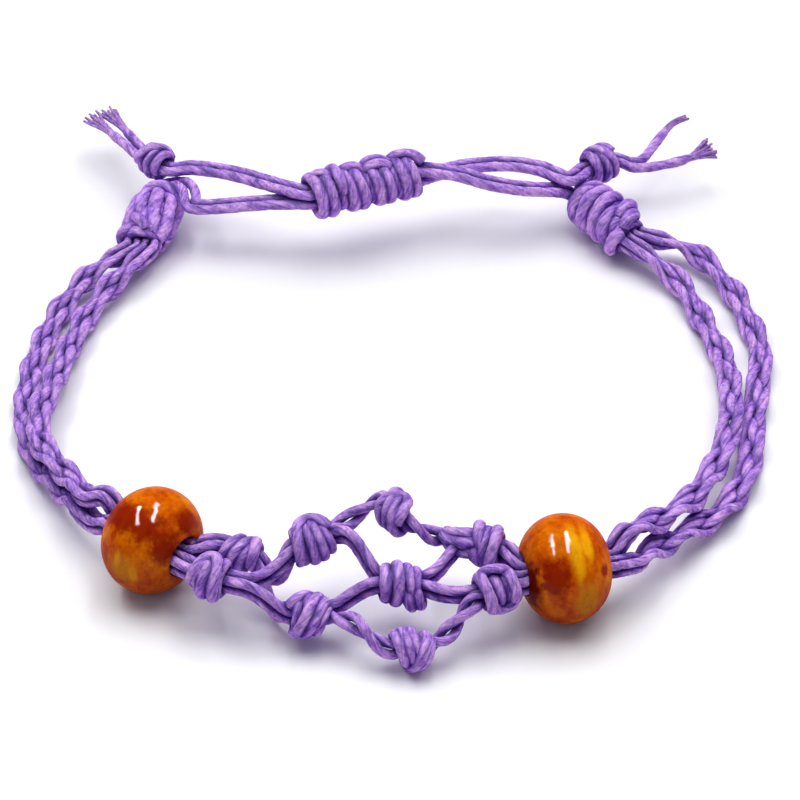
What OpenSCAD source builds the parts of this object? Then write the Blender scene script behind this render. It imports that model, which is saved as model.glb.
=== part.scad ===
// Adjustable knotted bracelet: an open stone net between two wooden beads, two plaits on each side,
// a large knot behind each pair of plaits, and two drawcords from each through one sliding bar.

/* [Beads] */
// Diameter of each wooden bead
bead_d = 10; // [9.8:0.1:10.4]
// Radius of the arc that rounds a bead from mouth to mouth
bead_round = 4; // [3.8:0.1:4.2]
// Diameter of the hole through a bead
bead_bore = 4; // [3.8:0.1:4.2]
// Depth of the small bevel at the mouth of the hole
bead_bevel = 0.2; // [0.1:0.05:0.3]

/* [Cords] */
// Diameter of a drawcord
draw_d = 1; // [0.8:0.05:1]
// Diameter of a cord in the net
net_d = 0.85; // [0.7:0.05:0.85]
// Diameter of a strand where it is pulled tight in a plait
plait_d = 0.6; // [0.5:0.02:0.6]

/* [Plaits] */
// Half the width that a strand swings across the plait
plait_reach = 0.88; // [0.86:0.01:0.9]
// Half the height that a strand swings through the plait
plait_rise = 0.57; // [0.56:0.01:0.6]
// Length over which the strands open out beside a bead or a large knot
plait_fan = 4.5; // [4.3:0.1:4.9]

/* [Knots] */
// Diameter of one wrap of a net knot or an end knot
wrap_d = 0.88; // [0.8:0.01:0.9]
// Distance from one wrap to the next
wrap_pitch = 0.84; // [0.78:0.01:0.84]
// Diameter of one wrap of a large knot
big_wrap_d = 0.95; // [0.9:0.01:1]
// Number of wraps of the large knot on the left
left_wraps = 9; // [6:1:9]
// Number of wraps of the large knot on the right
right_wraps = 8; // [6:1:8]

/* [Sliding bar] */
// Number of lobes of the sliding bar
bar_lobes = 5; // [3:1:5]
// Thickness of a lobe, from the drawcords to its crest
bar_wrap_d = 1.3; // [1.2:0.05:1.4]

/* [Hidden] */

cord_colour = "#9a6bd0";
knot_colour = "#8457c0";
bead_colour = "#cc5f08";

// Moves the whole bracelet so that its origin is under the middle of its bounding box
middle = [0.36, -2.13, 0];
up = [0, 0, 1];
cord_sides = 6;
round_fn = 48;
tangent_reach = 0.3;
full_turn = 360;

// Vectors: a heading is counted from +X towards +Y, a pitch from level upwards
function unit(v) = v / norm(v);
function aim(heading, pitch = 0) =
    [cos(pitch) * cos(heading), cos(pitch) * sin(heading), sin(pitch)];
function side_of(t) = unit(cross(up, t));
function rise_of(t) = cross(t, side_of(t));
function across(t, q) = side_of(t) * q[0] + rise_of(t) * q[1];
function clamp(x) = max(0, min(1, x));
function smooth(x) = let(c = clamp(x)) c * c * (3 - 2 * c);
function turned(q, a) = [q[0] * cos(a) - q[1] * sin(a), q[0] * sin(a) + q[1] * cos(a)];
function total(list, i = 0) = i + 1 < len(list) ? list[i] + total(list, i + 1) : list[i];
function average(list) = total(list) / len(list);
function place_of(value, list) = [for (i = [0 : len(list) - 1]) if (list[i] == value) i][0];

// A smooth curve through the points of a route, measured by the distance along its straight legs
function through(route, u) = let(
    n = len(route), i = min(floor(u), n - 2), f = u - i,
    b = route[i], c = route[i + 1],
    a = i > 0 ? route[i - 1] : 2 * b - c,
    d = i + 2 < n ? route[i + 2] : 2 * c - b)
    0.5 * (2 * b + (c - a) * f + (2 * a - 5 * b + 4 * c - d) * f * f
        + (3 * b - a - 3 * c + d) * f * f * f);
function marks(route) = [for (i = 0, s = 0; i < len(route);
    s = s + (i + 1 < len(route) ? norm(route[i + 1] - route[i]) : 0), i = i + 1) s];
function last_of(list) = list[len(list) - 1];
function at(route, mark, d) = let(
    e = max(0, min(last_of(mark), d)),
    i = min(len(route) - 2, max(0, len([for (m = mark) if (m < e) m]) - 1)),
    f = (e - mark[i]) / (mark[i + 1] - mark[i]))
    through(route, i + f);
function along(route, mark, d) =
    unit(at(route, mark, min(last_of(mark), d + tangent_reach))
        - at(route, mark, max(0, d - tangent_reach)));

// One closed tube from rows of [centre, radius]: skin in triangles and a fan at each end
module tube(rows) {
    n = len(rows);
    points = [for (i = [0 : n - 1])
        let(t = unit(rows[min(n - 1, i + 1)][0] - rows[max(0, i - 1)][0]))
        for (k = [0 : cord_sides - 1])
            rows[i][0] + rows[i][1] * across(t, aim(full_turn * k / cord_sides))];
    skin = [for (i = [0 : n - 2], k = [0 : cord_sides - 1])
        let(a = i * cord_sides + k, b = i * cord_sides + (k + 1) % cord_sides)
        each [[a, a + cord_sides, b], [b, a + cord_sides, b + cord_sides]]];
    first = [for (k = [1 : cord_sides - 2]) [0, k, k + 1]];
    top = (n - 1) * cord_sides;
    last = [for (k = [1 : cord_sides - 2]) [top, top + k + 1, top + k]];
    translate(middle) polyhedron(points, concat(skin, first, last), convexity = 10);
}

// Puts a shape that is turned about Z onto a centre, with its axis along a heading and pitch
module laid(centre, heading, pitch = 0) {
    translate(middle + centre) rotate([0, 90 - pitch, heading]) children();
}

// Wooden beads, columns: centre, heading of the hole
ring_r = bead_d / 2 - bead_round;
bead_half = sqrt(pow(bead_round, 2) - pow(bead_bore / 2 - ring_r, 2));
left_bead_row = [[-22.5, -27.1, bead_d / 2], -38];
right_bead_row = [[14.8, -31, bead_d / 2], 14];

module bead(row) {
    color(bead_colour) laid(row[0], row[1]) difference() {
        rotate_extrude($fn = 2 * round_fn) intersection() {
            translate([ring_r, 0]) circle(r = bead_round, $fn = 2 * round_fn);
            translate([bead_bore / 2, -bead_round]) square([bead_d, 2 * bead_round]);
        }
        for (s = [-1, 1]) mirror([0, 0, s < 0 ? 1 : 0])
            translate([0, 0, bead_half - bead_bevel])
                cylinder(h = 2 * bead_bevel, r1 = bead_bore / 2, r2 = bead_bore / 2 + 2 * bead_bevel,
                    $fn = 2 * round_fn);
    }
}

// Large knots, columns: centre, heading, number of wraps, length
big_slot = 0.45;
big_hole_r = 1.76;
big_r = big_hole_r + big_wrap_d;
big_pitch = 0.86;
left_big_row = [[-25.8, 26.1, big_r], 80, left_wraps];
right_big_row = [[21.5, 26.8, big_r], 126, right_wraps];
left_big_half = 3.9;
right_big_half = 3.5;
// The plait strands stop inside a large knot, and its drawcords start there
plait_stop = 2.6;
draw_start = 2.3;

// Wraps side by side round a straight bundle of strands
module wraps(count, pitch, hole_r, d) {
    for (i = [0 : count - 1]) translate([0, 0, (i - (count - 1) / 2) * pitch])
        rotate_extrude($fn = round_fn) translate([hole_r + d / 2, 0]) circle(d = d, $fn = round_fn / 2);
}
module big_knot(row) {
    color(knot_colour) laid(row[0], row[1]) wraps(row[2], big_pitch, big_hole_r, big_wrap_d);
}

// Plait routes from the bead to the large knot, hand-placed points of the middle line
left_outer_route = [[-28.1, -22.7, 3.4], [-29.9, -19.9, 3.1], [-31.4, -17.2, 2.4], [-33.3, -13.5, 1.7],
    [-34.8, -10.6, 1.3], [-35.7, -7.2, 1.1], [-36.4, -2.4, 1], [-36, 5.2, 1.1], [-34.2, 12.8, 1.3],
    [-31.2, 18.7, 2]];
left_inner_route = [[-26.9, -22.3, 6.2], [-28.8, -20.8, 5], [-30.4, -17.9, 4.4], [-32.3, -14.5, 3.8],
    [-33.9, -11.3, 3.4], [-34.5, -8.5, 3.1], [-34.5, -5, 3], [-33.8, -0.8, 2.7], [-32.8, 6.2, 1.8],
    [-31, 12.8, 1.6], [-27.9, 18.3, 2.4]];
right_outer_route = [[21.6, -28.9, 4.1], [23, -26.6, 3.5], [24.9, -24.6, 2.9], [27.2, -22, 2.2],
    [29.9, -19, 1.6], [31.9, -15.3, 1.3], [33.3, -11.1, 1.1], [33.9, -6.9, 1], [34.8, -0.8, 1],
    [35.7, 6, 1.1], [34.8, 12, 1.2], [33.2, 17.3, 1.4], [29.8, 22.6, 1.9]];
right_inner_route = [[20.5, -27.5, 6.3], [22.8, -24.9, 5.1], [25, -22.3, 4.3], [27.1, -19.5, 3.7],
    [29, -15.5, 3.1], [30.6, -11.3, 2.8], [31.7, -6.7, 2.8], [32.2, -0.2, 2], [31.8, 5.6, 1.4],
    [30.5, 10.8, 1.2], [28.8, 16.5, 1.4], [26.2, 20.2, 2.1]];

// Plaits, columns: bead, large knot, half its length, route, side (+1 left, -1 right),
// lane (+1 outer, -1 inner), turns of the strands from end to end
left_outer = [left_bead_row, left_big_row, left_big_half, left_outer_route, 1, 1, 2.25];
left_inner = [left_bead_row, left_big_row, left_big_half, left_inner_route, 1, -1, 2];
right_outer = [right_bead_row, right_big_row, right_big_half, right_outer_route, -1, 1, 2.5];
right_inner = [right_bead_row, right_big_row, right_big_half, right_inner_route, -1, -1, 2.25];
plait_step = 1.35;
mouth_gap = 0.2;
mouth_run = 0.8;
twist_lead = 1.5;

// The middle line of a plait: through the bead, along the route and into the large knot
function plait_line(row) = let(
    bead = row[0][0], a = -row[4] * aim(row[0][1]),
    knot = row[1][0], b = aim(row[1][1]), half = row[2],
    lane = row[4] * row[5] * 2 * big_slot,
    bead_lane = side_of(a) * lane, knot_lane = side_of(b) * lane)
    concat([for (s = [-bead_half, bead_half, bead_half + mouth_run]) bead + a * s + bead_lane],
        row[3],
        [for (s = [-half - mouth_run, -half, half - plait_stop]) knot + b * s + knot_lane]);

// Where strand k of a plait lies across it, at the angle q of the plait's repeat
function plait_swing(q) = [
    plait_reach * sin(q) - 0.06 * sin(5 * q),
    -plait_rise * cos(3 * q) + 0.07 * cos(5 * q) + 0.04 * cos(q)];
function plait_slot(q) = big_slot * [sign(sin(q)), -sign(cos(3 * q))];

function plait_rows(row, k) = let(
    line = plait_line(row), mark = marks(line), whole = last_of(mark),
    open_a = 2 * bead_half + mouth_gap, shut_a = open_a + plait_fan,
    open_b = whole - (2 * row[2] - plait_stop) - mouth_gap, shut_b = open_b - plait_fan,
    n = floor(whole / plait_step), phase = full_turn / 8 + full_turn * k / 4)
    [for (i = [0 : n]) let(
        d = whole * i / n, t = along(line, mark, d),
        m = min(smooth((d - open_a) / plait_fan), smooth((open_b - d) / plait_fan)),
        f = clamp((d - shut_a + twist_lead) / (shut_b - shut_a + 2 * twist_lead)),
        slot = plait_slot(phase + (f < 0.5 ? 0 : full_turn * row[6])),
        q = slot + (plait_swing(phase + full_turn * row[6] * f) - slot) * m)
        [at(line, mark, d) + across(t, [q[0] * row[4], q[1]]), plait_d / 2]];

module plait_strand(row, k) {
    color(cord_colour) tube(plait_rows(row, k));
}

// Net stations 0 to 10, columns: centre, heading, pitch, strands in the order of their places.
// 0 and 10 are the mouths of the beads, 1 to 9 the knots.
stations = [
    [left_bead_row[0] + aim(left_bead_row[1]) * bead_half, left_bead_row[1], 0,
        [1, 2, 3, 4, 5, 6, 7, 8]],
    [[-14.4, -28.6, 4.7], -30, -5, [1, 2, 3, 4]],
    [[-16.8, -32.4, 5.3], -20, -5, [5, 6, 7, 8]],
    [[-8, -29, 6.5], 25, 8, [1, 2, 5, 6]],
    [[-8.1, -34.8, 3], 0, 0, [3, 4, 7, 8]],
    [[-0.3, -26.7, 8], -45, -14, [1, 2]],
    [[0, -32.5, 4.6], -5, 0, [5, 6, 3, 4]],
    [[0.9, -38.5, 2.2], 10, 0, [7, 8]],
    [[7.8, -28.5, 5.5], -22, -4, [1, 2, 5, 6]],
    [[8.4, -33.9, 5], 25, 3, [3, 4, 7, 8]],
    [right_bead_row[0] - aim(right_bead_row[1]) * bead_half, right_bead_row[1], 0,
        [1, 2, 5, 6, 3, 4, 7, 8]]];
net_knot_half = 1.45;
four_slot = 0.48;
two_slot = [0.14, 0.47];
four_hole_r = 1.17;
two_hole_r = 0.98;
net_wraps = 3;

// Spans, columns: from, to, strands that travel together, sideways bow, full turns of their twist
pair_spans = [
    [[0, 1, [1, 2, 3, 4], [0, 0.3, 0], 0], [1, 3, [1, 2], [0, -0.3, -2.4], 0],
        [3, 5, [1, 2], [0, 0.3, -0.9], 1], [5, 8, [1, 2], [0, 0.3, -0.7], 1],
        [8, 10, [1, 2, 5, 6], [-0.2, 0.1, 0.3], 0]],
    [[0, 1, [1, 2, 3, 4], [0, 0.3, 0], 0], [1, 4, [3, 4], [0, 0, -2.1], 0],
        [4, 6, [3, 4], [0, 0.3, 0], 0], [6, 9, [3, 4], [0, -0.2, -0.1], 0],
        [9, 10, [3, 4, 7, 8], [0, -0.1, -0.1], 0]],
    [[0, 2, [5, 6, 7, 8], [0, 0, 0], 0], [2, 3, [5, 6], [0, -0.5, -0.5], 0],
        [3, 6, [5, 6], [0, 0.4, 1.1], 0], [6, 8, [5, 6], [0, -0.5, 0], 0],
        [8, 10, [1, 2, 5, 6], [-0.2, 0.1, 0.3], 0]],
    [[0, 2, [5, 6, 7, 8], [0, 0, 0], 0], [2, 4, [7, 8], [0, 0, 0.9], 0],
        [4, 7, [7, 8], [0, 0, 0.8], 1], [7, 9, [7, 8], [0, 0, -0.2], 1],
        [9, 10, [3, 4, 7, 8], [0, -0.1, -0.1], 0]]];
net_step = 0.9;
// How far the strands of a span hold the direction of the knots at its ends, and how far they part
span_pull = 0.9;
span_swell = 0.12;
// The cords of the net start this far from the strands that come through the bead
net_gap = 0.5;

// Place of a strand across a station
function net_slot(station, strand) = let(
    order = stations[station][3], i = place_of(strand, order),
    row = i % 2 == 0 ? 1 : -1, column = floor(i / 2))
    len(order) == 8 ? big_slot * [3 - 2 * column, row]
    : len(order) == 4 ? four_slot * [1 - 2 * column, row]
    : row * two_slot;
function eased(p, tp, q, tq, f) = (2 * pow(f, 3) - 3 * f * f + 1) * p
    + (pow(f, 3) - 2 * f * f + f) * tp + (3 * f * f - 2 * pow(f, 3)) * q + (pow(f, 3) - f * f) * tq;

function span_rows(span, strand) = let(
    from = stations[span[0]], to = stations[span[1]],
    a = aim(from[1], from[2]), b = aim(to[1], to[2]),
    mid_a = average([for (s = span[2]) net_slot(span[0], s)]),
    mid_b = average([for (s = span[2]) net_slot(span[1], s)]),
    starts = span[0] == 0, ends = span[1] == 10,
    p = from[0] + a * (starts ? net_gap : net_knot_half) + across(a, mid_a),
    q = to[0] - b * (ends ? net_gap : net_knot_half) + across(b, mid_b),
    own_a = net_slot(span[0], strand) - mid_a, own_b = net_slot(span[1], strand) - mid_b,
    reach = norm(q - p), n = max(3, ceil(reach / net_step)))
    [for (i = [0 : n]) let(
        f = i / n, nudge = 0.01,
        g = max(0, f - nudge), h = min(1, f + nudge),
        here = eased(p, a * reach * span_pull, q, b * reach * span_pull, f)
            + span[3] * pow(sin(180 * f), 2),
        before = eased(p, a * reach * span_pull, q, b * reach * span_pull, g)
            + span[3] * pow(sin(180 * g), 2),
        after = eased(p, a * reach * span_pull, q, b * reach * span_pull, h)
            + span[3] * pow(sin(180 * h), 2),
        own = (own_a * (1 - f) + own_b * f) * (1 + span_swell * sin(180 * f)),
        thick = starts ? smooth(f) : ends ? smooth(1 - f) : 1)
        [here + across(unit(after - before), turned(own, full_turn * span[4] * f)),
            (plait_d + (net_d - plait_d) * thick) / 2]];
module net_strand(strand) {
    color(cord_colour)
        tube([for (span = pair_spans[floor((strand - 1) / 2)]) each span_rows(span, strand)]);
}
module net_knot(station) {
    row = stations[station];
    color(knot_colour) laid(row[0], row[1], row[2])
        wraps(net_wraps, wrap_pitch, len(row[3]) == 2 ? two_hole_r : four_hole_r, wrap_d);
}

// Sliding bar round the four drawcords
bar_from = [-9, 24.9, 7];
bar_to = [1.6, 28.8, 7];
bar_heading = atan2(bar_to[1] - bar_from[1], bar_to[0] - bar_from[0]);
bar_axis = aim(bar_heading);
bar_lobe_pitch = 2.15;
bar_hole_r = 1.32;
// The drawcords keep straight from just outside the bar to this far inside it
bar_mouth = 0.5;
bar_straight = 1;
// The drawcords keep straight this far on each side of an end knot's centre
end_straight = 1.8;
module sliding_bar() {
    color(knot_colour) laid((bar_from + bar_to) / 2, bar_heading)
        for (i = [0 : bar_lobes - 1])
            translate([0, 0, (i - (bar_lobes - 1) / 2) * bar_lobe_pitch])
                wraps(2, bar_lobe_pitch / 2, bar_hole_r, bar_wrap_d);
}

// End knots, columns: centre, heading
end_hole_r = 1.2;
left_end_row = [[-25.6, 34.1, 5], 136];
right_end_row = [[20.9, 33.6, 5], 30];
module end_knot(row) {
    color(knot_colour) laid(row[0], row[1]) wraps(net_wraps, wrap_pitch, end_hole_r, wrap_d);
}

// Inside the bar one pair of drawcords lies on the other, this far from the bar's axis
bar_lift = [0, 0, 0.55];

// Drawcord pairs, columns: middle of the pair, half the distance between its two cords
pair_half = 0.55;
left_draw_rows = [
    [left_big_row[0] + aim(left_big_row[1]) * (left_big_half - draw_start), pair_half],
    [left_big_row[0] + aim(left_big_row[1]) * left_big_half, pair_half],
    [[-25.4, 31, 2.9], 0.6], [[-24.7, 31.8, 3.3], 0.6], [[-23.6, 31.6, 3.9], 0.6],
    [[-22.6, 30.3, 4.8], 0.6], [[-21.9, 28.7, 5.2], 0.6], [[-21.6, 27.1, 5.2], 0.6],
    [[-21.3, 25.9, 5.1], 0.6], [[-19, 25.5, 5.3], pair_half], [[-16.5, 25.3, 5.7], pair_half],
    [[-13, 25, 6.2], pair_half],
    [bar_from - bar_axis * bar_mouth - bar_lift, pair_half],
    [bar_from + bar_axis * bar_straight - bar_lift, pair_half],
    [bar_to - bar_axis * bar_straight - bar_lift, pair_half],
    [bar_to + bar_axis * bar_mouth - bar_lift, pair_half],
    [[5.4, 30.7, 6.4], pair_half], [[8.3, 31.2, 6.6], pair_half], [[11.5, 31.5, 6.5], pair_half],
    [[14.5, 31, 6.3], pair_half], [[16.2, 30.1, 6.1], pair_half], [[17.5, 29.7, 5.9], pair_half],
    [[18.5, 31, 5.5], pair_half],
    [right_end_row[0] - aim(right_end_row[1]) * end_straight, pair_half],
    [right_end_row[0] + aim(right_end_row[1]) * end_straight, pair_half],
    [[24.3, 34.2, 4.6], 0.55], [[26, 34.7, 4.5], 0.9], [[28.4, 36.5, 4.7], 2.1],
    [[30.8, 38.9, 5], 2.9]];
right_draw_rows = [
    [right_big_row[0] + aim(right_big_row[1]) * (right_big_half - draw_start), pair_half],
    [right_big_row[0] + aim(right_big_row[1]) * right_big_half, pair_half],
    [[17.3, 29.7, 4.2], pair_half], [[15.2, 28.4, 5.4], pair_half], [[12.4, 27.5, 6.2], pair_half],
    [[9, 27.4, 7], pair_half], [[6, 28.2, 7.5], pair_half],
    [bar_to + bar_axis * bar_mouth + bar_lift, pair_half],
    [bar_to - bar_axis * bar_straight + bar_lift, pair_half],
    [bar_from + bar_axis * bar_straight + bar_lift, pair_half],
    [bar_from - bar_axis * bar_mouth + bar_lift, pair_half],
    [[-12.6, 26.4, 7.3], pair_half], [[-17, 29.7, 6.5], pair_half], [[-21.4, 32, 5.7], pair_half],
    [left_end_row[0] - aim(left_end_row[1]) * end_straight, pair_half],
    [left_end_row[0] + aim(left_end_row[1]) * end_straight, pair_half],
    [[-28.3, 37.4, 5], 0.6], [[-30.2, 40.6, 4.8], 0.8], [[-32.2, 44, 4.5], 1]];
draw_step = 1.35;
function draw_points(rows, s) = [for (i = [0 : len(rows) - 1]) let(
    t = unit(rows[min(len(rows) - 1, i + 1)][0] - rows[max(0, i - 1)][0]))
    rows[i][0] + side_of(t) * s * rows[i][1]];
module drawcord(rows, s) {
    line = draw_points(rows, s);
    mark = marks(line);
    n = floor(last_of(mark) / draw_step);
    color(cord_colour) tube([for (i = [0 : n]) [at(line, mark, last_of(mark) * i / n), draw_d / 2]]);
}

bead(left_bead_row);  // left_bead
bead(right_bead_row);  // right_bead
plait_strand(left_outer, 0);  // left_outer_plait_1
plait_strand(left_outer, 1);  // left_outer_plait_2
plait_strand(left_outer, 2);  // left_outer_plait_3
plait_strand(left_outer, 3);  // left_outer_plait_4
plait_strand(left_inner, 0);  // left_inner_plait_1
plait_strand(left_inner, 1);  // left_inner_plait_2
plait_strand(left_inner, 2);  // left_inner_plait_3
plait_strand(left_inner, 3);  // left_inner_plait_4
plait_strand(right_outer, 0);  // right_outer_plait_1
plait_strand(right_outer, 1);  // right_outer_plait_2
plait_strand(right_outer, 2);  // right_outer_plait_3
plait_strand(right_outer, 3);  // right_outer_plait_4
plait_strand(right_inner, 0);  // right_inner_plait_1
plait_strand(right_inner, 1);  // right_inner_plait_2
plait_strand(right_inner, 2);  // right_inner_plait_3
plait_strand(right_inner, 3);  // right_inner_plait_4
net_strand(1);  // net_strand_1
net_strand(2);  // net_strand_2
net_strand(3);  // net_strand_3
net_strand(4);  // net_strand_4
net_strand(5);  // net_strand_5
net_strand(6);  // net_strand_6
net_strand(7);  // net_strand_7
net_strand(8);  // net_strand_8
net_knot(1);  // net_knot_1
net_knot(2);  // net_knot_2
net_knot(3);  // net_knot_3
net_knot(4);  // net_knot_4
net_knot(5);  // net_knot_5
net_knot(6);  // net_knot_6
net_knot(7);  // net_knot_7
net_knot(8);  // net_knot_8
net_knot(9);  // net_knot_9
big_knot(left_big_row);  // left_big_knot
big_knot(right_big_row);  // right_big_knot
sliding_bar();
end_knot(left_end_row);  // left_end_knot
end_knot(right_end_row);  // right_end_knot
drawcord(left_draw_rows, 1);  // left_drawcord_1
drawcord(left_draw_rows, -1);  // left_drawcord_2
drawcord(right_draw_rows, 1);  // right_drawcord_1
drawcord(right_draw_rows, -1);  // right_drawcord_2
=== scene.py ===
import math

import bmesh
import bpy
import numpy as np
from mathutils import Matrix, Vector, kdtree, noise


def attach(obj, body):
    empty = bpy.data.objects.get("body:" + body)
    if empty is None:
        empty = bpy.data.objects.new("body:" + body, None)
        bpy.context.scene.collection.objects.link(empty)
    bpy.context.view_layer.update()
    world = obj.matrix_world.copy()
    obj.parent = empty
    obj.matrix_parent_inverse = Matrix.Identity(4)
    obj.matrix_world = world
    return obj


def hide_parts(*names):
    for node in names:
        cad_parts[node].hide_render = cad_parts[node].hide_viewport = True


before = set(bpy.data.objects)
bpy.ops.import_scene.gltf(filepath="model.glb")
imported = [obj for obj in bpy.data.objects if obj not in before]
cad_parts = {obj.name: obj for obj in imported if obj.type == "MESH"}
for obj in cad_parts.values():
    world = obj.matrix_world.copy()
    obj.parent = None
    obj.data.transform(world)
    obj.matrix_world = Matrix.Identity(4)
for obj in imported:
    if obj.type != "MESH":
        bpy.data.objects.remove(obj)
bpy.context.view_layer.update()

# Lengths in the tables are millimetres, on the table top the bracelet lies on
MM = 0.001
MIDDLE = Vector((0.36, -2.13, 0.0))
UP = Vector((0.0, 0.0, 1.0))
TURN = 2.0 * math.pi

# Beads, columns: centre, heading of the hole
BEAD_RADIUS = 5.0
BEAD_ROUND = 4.0
BEAD_HOLE = 2.0
BEAD_HALF = math.sqrt(BEAD_ROUND ** 2 - (BEAD_HOLE - BEAD_RADIUS + BEAD_ROUND) ** 2)
BEADS = {
    "left": ((-22.5, -27.1, BEAD_RADIUS), -38.0),
    "right": ((14.8, -31.0, BEAD_RADIUS), 14.0),
}

# Large knots, columns: centre, heading, half length
BIG_KNOTS = {
    "left": ((-25.8, 26.1, 2.71), 80.0, 3.9),
    "right": ((21.5, 26.8, 2.71), 126.0, 3.5),
}

# Cord as it is bought, and as it is squeezed in a plait or a bead
DRAW_RADIUS = 0.52
NET_RADIUS = 0.46
PLAIT_RADIUS = 0.47
BEAD_CORD_RADIUS = 0.42
# Distance between the rings of points along a cord
RING_STEP = 0.2

# Plait routes from bead to large knot, points of the middle line
PLAIT_ROUTES = {
    "left_outer": ((-28.1, -22.7, 3.4), (-29.9, -19.9, 3.1), (-31.4, -17.2, 2.4), (-33.3, -13.5, 1.7),
                   (-34.8, -10.6, 1.3), (-35.7, -7.2, 1.1), (-36.4, -2.4, 1), (-36, 5.2, 1.1),
                   (-34.2, 12.8, 1.3), (-31.2, 18.7, 2)),
    "left_inner": ((-26.9, -22.3, 6.2), (-28.8, -20.8, 5), (-30.4, -17.9, 4.4), (-32.3, -14.5, 3.8),
                   (-33.9, -11.3, 3.4), (-34.5, -8.5, 3.1), (-34.5, -5, 3), (-33.8, -0.8, 2.7),
                   (-32.8, 6.2, 1.8), (-31, 12.8, 1.6), (-27.9, 18.3, 2.4)),
    "right_outer": ((21.6, -28.9, 4.1), (23, -26.6, 3.5), (24.9, -24.6, 2.9), (27.2, -22, 2.2),
                    (29.9, -19, 1.6), (31.9, -15.3, 1.3), (33.3, -11.1, 1.1), (33.9, -6.9, 1),
                    (34.8, -0.8, 1), (35.7, 6, 1.1), (34.8, 12, 1.2), (33.2, 17.3, 1.4),
                    (29.8, 22.6, 1.9)),
    "right_inner": ((20.5, -27.5, 6.3), (22.8, -24.9, 5.1), (25, -22.3, 4.3), (27.1, -19.5, 3.7),
                    (29, -15.5, 3.1), (30.6, -11.3, 2.8), (31.7, -6.7, 2.8), (32.2, -0.2, 2),
                    (31.8, 5.6, 1.4), (30.5, 10.8, 1.2), (28.8, 16.5, 1.4), (26.2, 20.2, 2.1)),
}
PLAIT_TURNS = {"left_outer": 2.25, "left_inner": 2.0, "right_outer": 2.5, "right_inner": 2.25}
# How far a strand swings across and through its plait
PLAIT_REACH = 0.76
PLAIT_RISE = 0.48
# Lengths over which the strands fan out of a bead or a large knot
BEAD_FANS = {"left": 8.0, "right": 4.5}
KNOT_FAN = 4.5
# The middle line keeps straight this far past a mouth, and a fan starts after the gap
MOUTH_RUN = 0.8
MOUTH_GAP = 0.2
# The strands already turn over this length of each fan
TWIST_LEAD = 1.5
# Strands stop, and drawcords start, this far from the end of a large knot where the drawcords leave
PLAIT_STOP = 2.6
DRAW_START = 2.3
# How far a strand wanders, how much it swells, and how flat the others press it
WANDER = 0.06
STRAND_SWELL = 0.07
STRAND_PRESS = 0.3

# Net stations 0 to 10, columns: centre, heading, pitch, cords in the order of their places
NET_KNOTS = {
    1: ((-14.4, -28.6, 4.7), -30, -5, (1, 2, 3, 4)),
    2: ((-16.8, -32.4, 5.3), -20, -5, (5, 6, 7, 8)),
    3: ((-8, -29, 6.5), 25, 8, (1, 2, 5, 6)),
    4: ((-8.1, -34.8, 3), 0, 0, (3, 4, 7, 8)),
    5: ((-0.3, -26.7, 8), -45, -14, (1, 2)),
    6: ((0, -32.5, 4.6), -5, 0, (5, 6, 3, 4)),
    7: ((0.9, -38.5, 2.2), 10, 0, (7, 8)),
    8: ((7.8, -28.5, 5.5), -22, -4, (1, 2, 5, 6)),
    9: ((8.4, -33.9, 5), 25, 3, (3, 4, 7, 8)),
}
LAST_STATION = 10

# Spans, columns: from, to, cords that travel together, sideways bow, full turns of their twist
FIRST_PAIRS = (0, 1, (1, 2, 3, 4), (0, 0.3, 0), 0)
FRONT_PAIRS = (0, 2, (5, 6, 7, 8), (0, 0, 0), 0)
UPPER_END = (8, 10, (1, 2, 5, 6), (-0.2, 0.1, 0.3), 0)
LOWER_END = (9, 10, (3, 4, 7, 8), (0, -0.1, -0.1), 0)
NET_SPANS = {
    1: (FIRST_PAIRS, (1, 3, (1, 2), (0, -0.3, -2.4), 0), (3, 5, (1, 2), (0, 0.3, -0.9), 1),
        (5, 8, (1, 2), (0, 0.3, -0.7), 1), UPPER_END),
    3: (FIRST_PAIRS, (1, 4, (3, 4), (0, 0, -2.1), 0), (4, 6, (3, 4), (0, 0.3, 0), 0),
        (6, 9, (3, 4), (0, -0.2, -0.1), 0), LOWER_END),
    5: (FRONT_PAIRS, (2, 3, (5, 6), (0, -0.5, -0.5), 0), (3, 6, (5, 6), (0, 0.4, 1.1), 0),
        (6, 8, (5, 6), (0, -0.5, 0), 0), UPPER_END),
    7: (FRONT_PAIRS, (2, 4, (7, 8), (0, 0, 0.9), 0), (4, 7, (7, 8), (0, 0, 0.8), 1),
        (7, 9, (7, 8), (0, 0, -0.2), 1), LOWER_END),
}
NET_KNOT_HALF = 1.45
# Places of the cords across a bead or a large knot, a knot of four cords and a knot of two
NARROW_SLOT = 0.45
FOUR_SLOT = 0.46
TWO_SLOT = Vector((0.14, 0.45))
# How far the cords reach into a bead, how long they keep a knot's direction, how far they part
BEAD_REACH = 0.6
SPAN_PULL = 0.9
SPAN_SWELL = 0.1

# Sliding bar and end knots
BAR_FROM = Vector((-9.0, 24.9, 7.0))
BAR_TO = Vector((1.6, 28.8, 7.0))
BAR_AXIS = (BAR_TO - BAR_FROM).normalized()
END_KNOTS = {"left": ((-25.6, 34.1, 5.0), 136.0), "right": ((20.9, 33.6, 5.0), 30.0)}
END_STRAIGHT = 1.8
# The drawcords keep straight from this far outside the bar to this far inside it
BAR_MOUTH = 0.5
BAR_STRAIGHT = 1.0
# Half the distance between the two cords of a pair
PAIR_HALF = 0.55


def aim(heading, pitch=0.0):
    heading, pitch = math.radians(heading), math.radians(pitch)
    level = math.cos(pitch)
    return Vector((level * math.cos(heading), level * math.sin(heading), math.sin(pitch)))


def side_of(way):
    return UP.cross(way).normalized()


def rise_of(way):
    return way.cross(side_of(way))


def across(way, place):
    return side_of(way) * place[0] + rise_of(way) * place[1]


def smooth(x):
    x = max(0.0, min(1.0, x))
    return x * x * (3.0 - 2.0 * x)


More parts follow.
